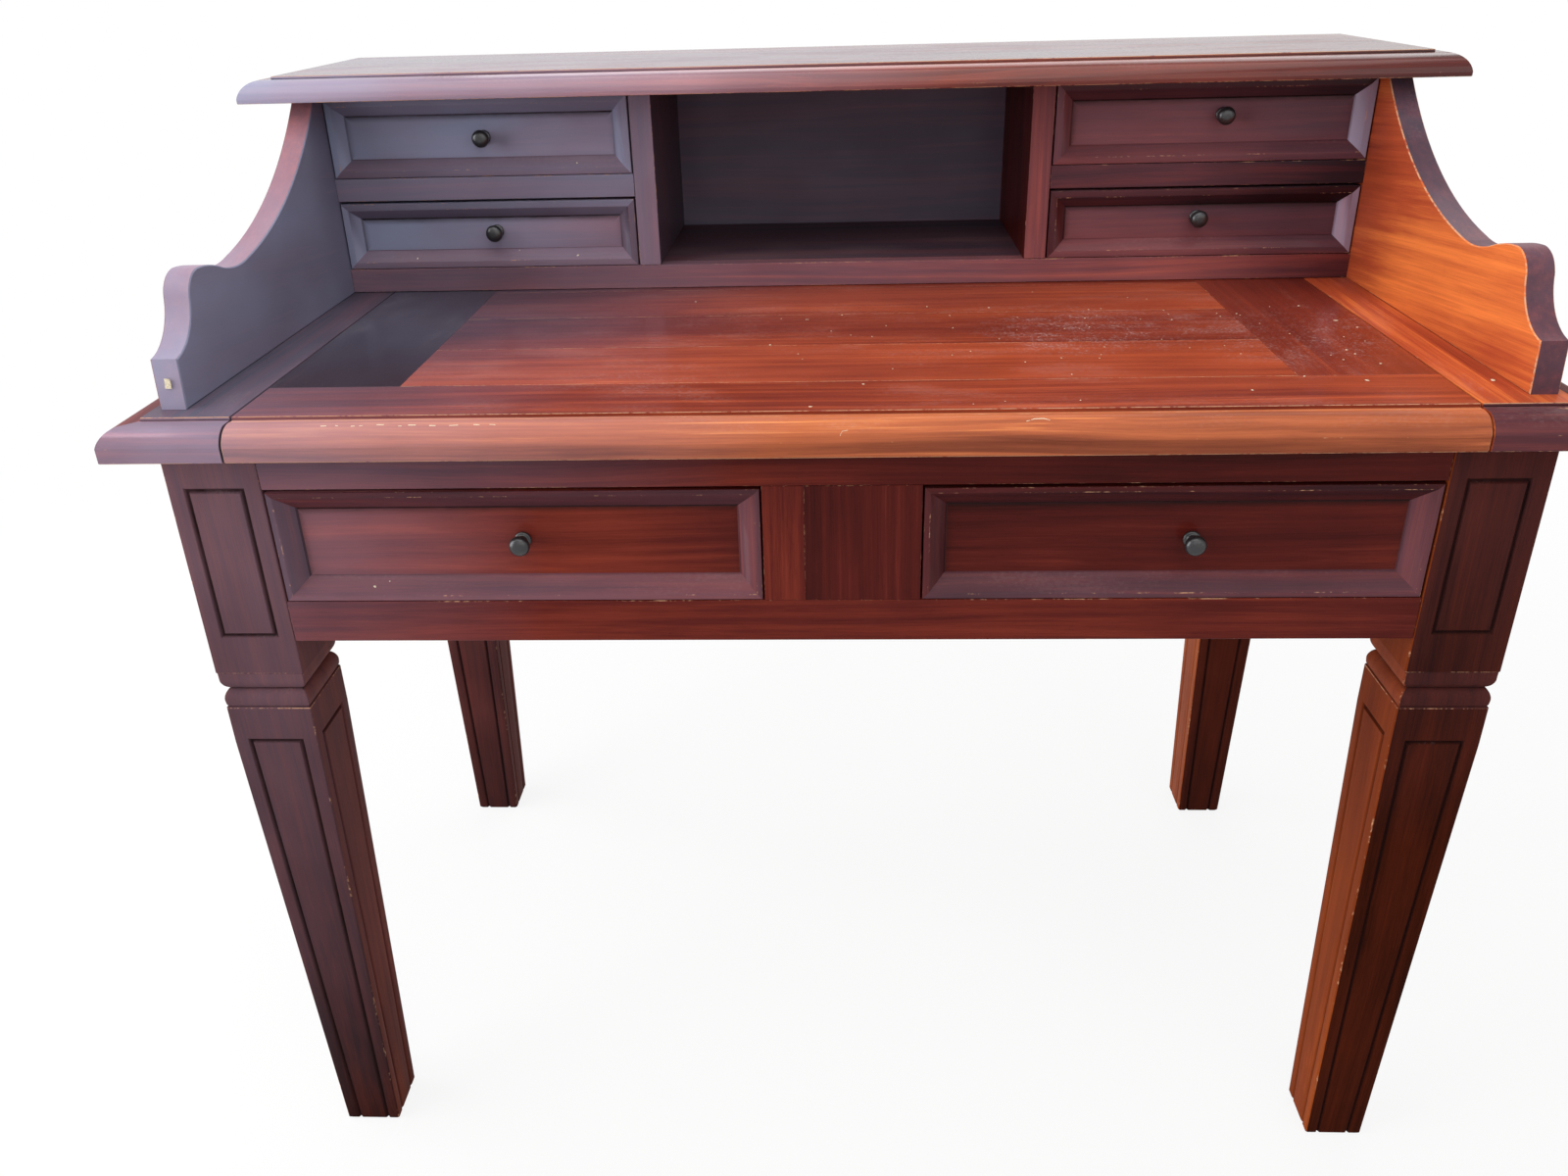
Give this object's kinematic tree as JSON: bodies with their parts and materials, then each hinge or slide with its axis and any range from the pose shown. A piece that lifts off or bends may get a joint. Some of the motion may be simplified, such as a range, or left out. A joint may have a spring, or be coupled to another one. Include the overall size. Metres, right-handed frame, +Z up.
{
  "type": "ladies' writing desk",
  "caption": "Mahogany writing desk on square tapered legs: frieze drawers, a pull-out writing slide, shaped gallery sides and a low cabinet of small drawers under a shelf.",
  "frame": {"origin": "on the floor under the middle of the whole desk", "axes": "+X to the right of a person at the desk, +Y from the front to the back, +Z up"},
  "size_m": [1.14, 0.646, 0.993],
  "materials": {
    "mahogany": "varnished mahogany",
    "light_mahogany": "varnished lighter mahogany",
    "inner_wood": "plain unfinished hardwood",
    "knob_metal": "dark bronzed metal"
  },
  "bodies": {
    "carcase": {"leg_front_left": "mahogany", "leg_front_right": "mahogany", "leg_rear_left": "mahogany", "leg_rear_right": "mahogany", "frieze_top_rail": "mahogany", "frieze_bottom_rail": "mahogany", "frieze_centre_board": "mahogany", "frieze_centre_strip": "light_mahogany", "side_apron_left": "mahogany", "side_apron_right": "mahogany", "back_apron": "mahogany", "bay_partition": "inner_wood", "drawer_runners": "inner_wood", "drawer_guides": "inner_wood", "drawer_kickers": "inner_wood", "slide_bearers": "inner_wood", "top_side_left": "mahogany", "top_side_right": "mahogany", "top_corner_left": "mahogany", "top_corner_right": "mahogany", "top_back_board": "mahogany", "gallery_left": "mahogany", "gallery_right": "mahogany", "cabinet_bottom_rail": "mahogany", "cabinet_floor": "mahogany", "cabinet_partition_left": "mahogany", "cabinet_partition_right": "mahogany", "cabinet_divider_left": "mahogany", "cabinet_divider_right": "mahogany", "cabinet_runners": "inner_wood", "cabinet_back": "mahogany", "shelf": "mahogany"},
    "writing_slide": {"slide_front_rail": "light_mahogany", "slide_front_board": "mahogany", "slide_clamp_left": "mahogany", "slide_clamp_right": "mahogany", "slide_boards": "mahogany", "slide_stops": "inner_wood"},
    "drawer_left": {"drawer_left_front": "mahogany", "drawer_left_sides": "inner_wood", "drawer_left_back": "inner_wood", "drawer_left_bottom": "inner_wood", "drawer_left_knob": "knob_metal"},
    "drawer_right": {"drawer_right_front": "mahogany", "drawer_right_sides": "inner_wood", "drawer_right_back": "inner_wood", "drawer_right_bottom": "inner_wood", "drawer_right_knob": "knob_metal"},
    "small_drawer_lower_left": {"small_drawer_lower_left_front": "mahogany", "small_drawer_lower_left_box": "inner_wood", "small_drawer_lower_left_knob": "knob_metal"},
    "small_drawer_lower_right": {"small_drawer_lower_right_front": "mahogany", "small_drawer_lower_right_box": "inner_wood", "small_drawer_lower_right_knob": "knob_metal"},
    "small_drawer_upper_left": {"small_drawer_upper_left_front": "mahogany", "small_drawer_upper_left_box": "inner_wood", "small_drawer_upper_left_knob": "knob_metal"},
    "small_drawer_upper_right": {"small_drawer_upper_right_front": "mahogany", "small_drawer_upper_right_box": "inner_wood", "small_drawer_upper_right_knob": "knob_metal"}
  },
  "joints": [
    {"name": "writing_slide_pull", "type": "slide", "parent": "carcase", "child": "writing_slide", "axis": [0, -1, 0], "range_m": [0, 0.15]},
    {"name": "drawer_left_pull", "type": "slide", "parent": "carcase", "child": "drawer_left", "axis": [0, -1, 0], "range_m": [0, 0.34]},
    {"name": "drawer_right_pull", "type": "slide", "parent": "carcase", "child": "drawer_right", "axis": [0, -1, 0], "range_m": [0, 0.34]},
    {"name": "small_drawer_lower_left_pull", "type": "slide", "parent": "carcase", "child": "small_drawer_lower_left", "axis": [0, -1, 0], "range_m": [0, 0.13]},
    {"name": "small_drawer_lower_right_pull", "type": "slide", "parent": "carcase", "child": "small_drawer_lower_right", "axis": [0, -1, 0], "range_m": [0, 0.13]},
    {"name": "small_drawer_upper_left_pull", "type": "slide", "parent": "carcase", "child": "small_drawer_upper_left", "axis": [0, -1, 0], "range_m": [0, 0.13]},
    {"name": "small_drawer_upper_right_pull", "type": "slide", "parent": "carcase", "child": "small_drawer_upper_right", "axis": [0, -1, 0], "range_m": [0, 0.13]}
  ]
}
